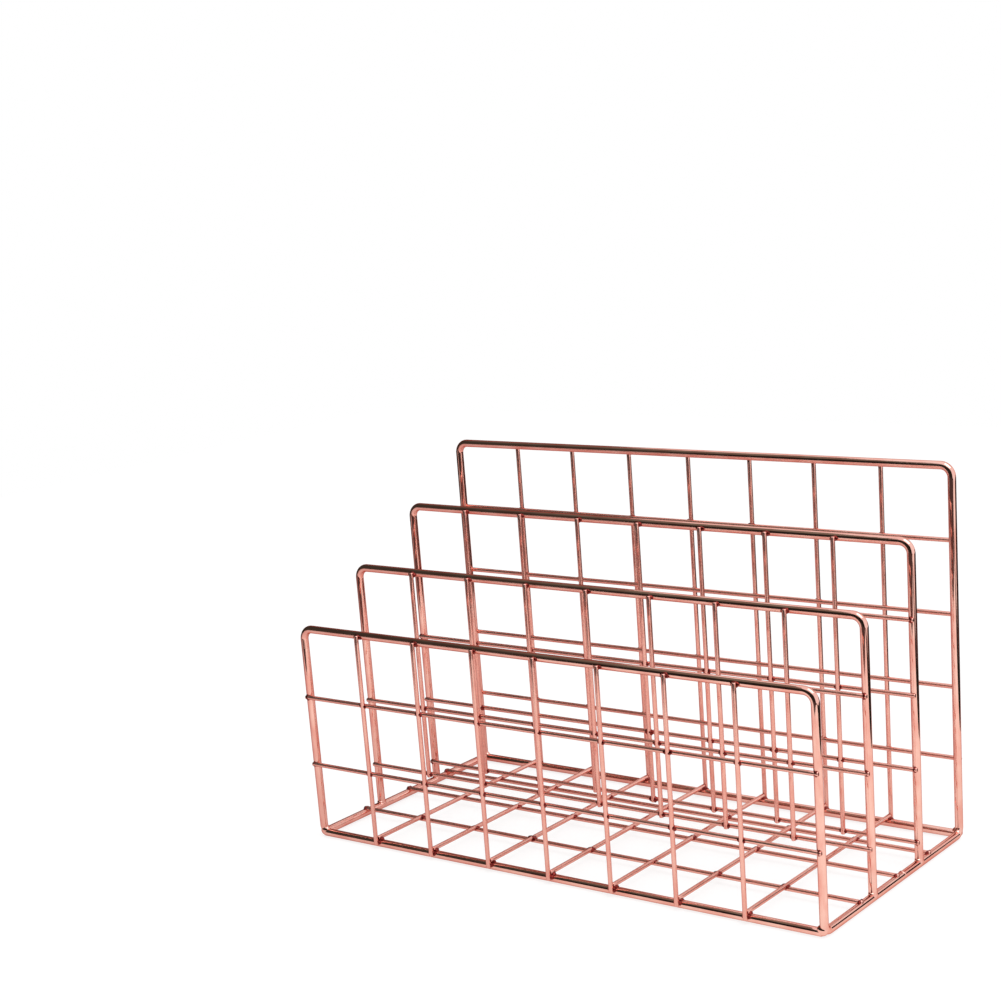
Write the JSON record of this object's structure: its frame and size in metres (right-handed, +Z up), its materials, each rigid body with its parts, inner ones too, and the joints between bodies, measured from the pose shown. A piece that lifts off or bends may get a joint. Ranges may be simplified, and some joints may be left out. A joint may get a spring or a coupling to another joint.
{
  "type": "desktop document shelf",
  "caption": "Wire-grid document shelf with stepped upright panels that divide it into slots for papers and folders, on an open wire base.",
  "frame": {"origin": "on the table, under the middle of the shelf's outer box", "axes": "+X along the width to the right, +Y from the front panel to the back panel, +Z up"},
  "size_m": [0.32, 0.1538, 0.199],
  "materials": {
    "frame_wire": "rose gold plated steel wire, polished",
    "grid_wire": "rose gold plated thin steel wire, polished"
  },
  "bodies": {
    "root": {"back_rail": "frame_wire", "back_row_1": "grid_wire", "back_row_2": "grid_wire", "back_row_3": "grid_wire", "back_row_4": "grid_wire", "back_upright_1": "grid_wire", "back_upright_2": "grid_wire", "back_upright_3": "grid_wire", "back_upright_4": "grid_wire", "back_upright_5": "grid_wire", "back_upright_6": "grid_wire", "back_upright_7": "grid_wire", "cross_wire_1": "grid_wire", "cross_wire_2": "grid_wire", "cross_wire_3": "grid_wire", "divider_1_frame": "frame_wire", "divider_1_row_1": "grid_wire", "divider_1_row_2": "grid_wire", "divider_1_row_3": "grid_wire", "divider_1_upright_1": "grid_wire", "divider_1_upright_2": "grid_wire", "divider_1_upright_3": "grid_wire", "divider_1_upright_4": "grid_wire", "divider_1_upright_5": "grid_wire", "divider_1_upright_6": "grid_wire", "divider_1_upright_7": "grid_wire", "divider_2_frame": "frame_wire", "divider_2_row_1": "grid_wire", "divider_2_row_2": "grid_wire", "divider_2_row_3": "grid_wire", "divider_2_row_4": "grid_wire", "divider_2_upright_1": "grid_wire", "divider_2_upright_2": "grid_wire", "divider_2_upright_3": "grid_wire", "divider_2_upright_4": "grid_wire", "divider_2_upright_5": "grid_wire", "divider_2_upright_6": "grid_wire", "divider_2_upright_7": "grid_wire", "floor_wire_1": "grid_wire", "floor_wire_2": "grid_wire", "floor_wire_3": "grid_wire", "floor_wire_4": "grid_wire", "floor_wire_5": "grid_wire", "floor_wire_6": "grid_wire", "floor_wire_7": "grid_wire", "front_rail": "frame_wire", "front_row_1": "grid_wire", "front_row_2": "grid_wire", "front_upright_1": "grid_wire", "front_upright_2": "grid_wire", "front_upright_3": "grid_wire", "front_upright_4": "grid_wire", "front_upright_5": "grid_wire", "front_upright_6": "grid_wire", "front_upright_7": "grid_wire", "outer_frame": "frame_wire"}
  },
  "joints": []
}
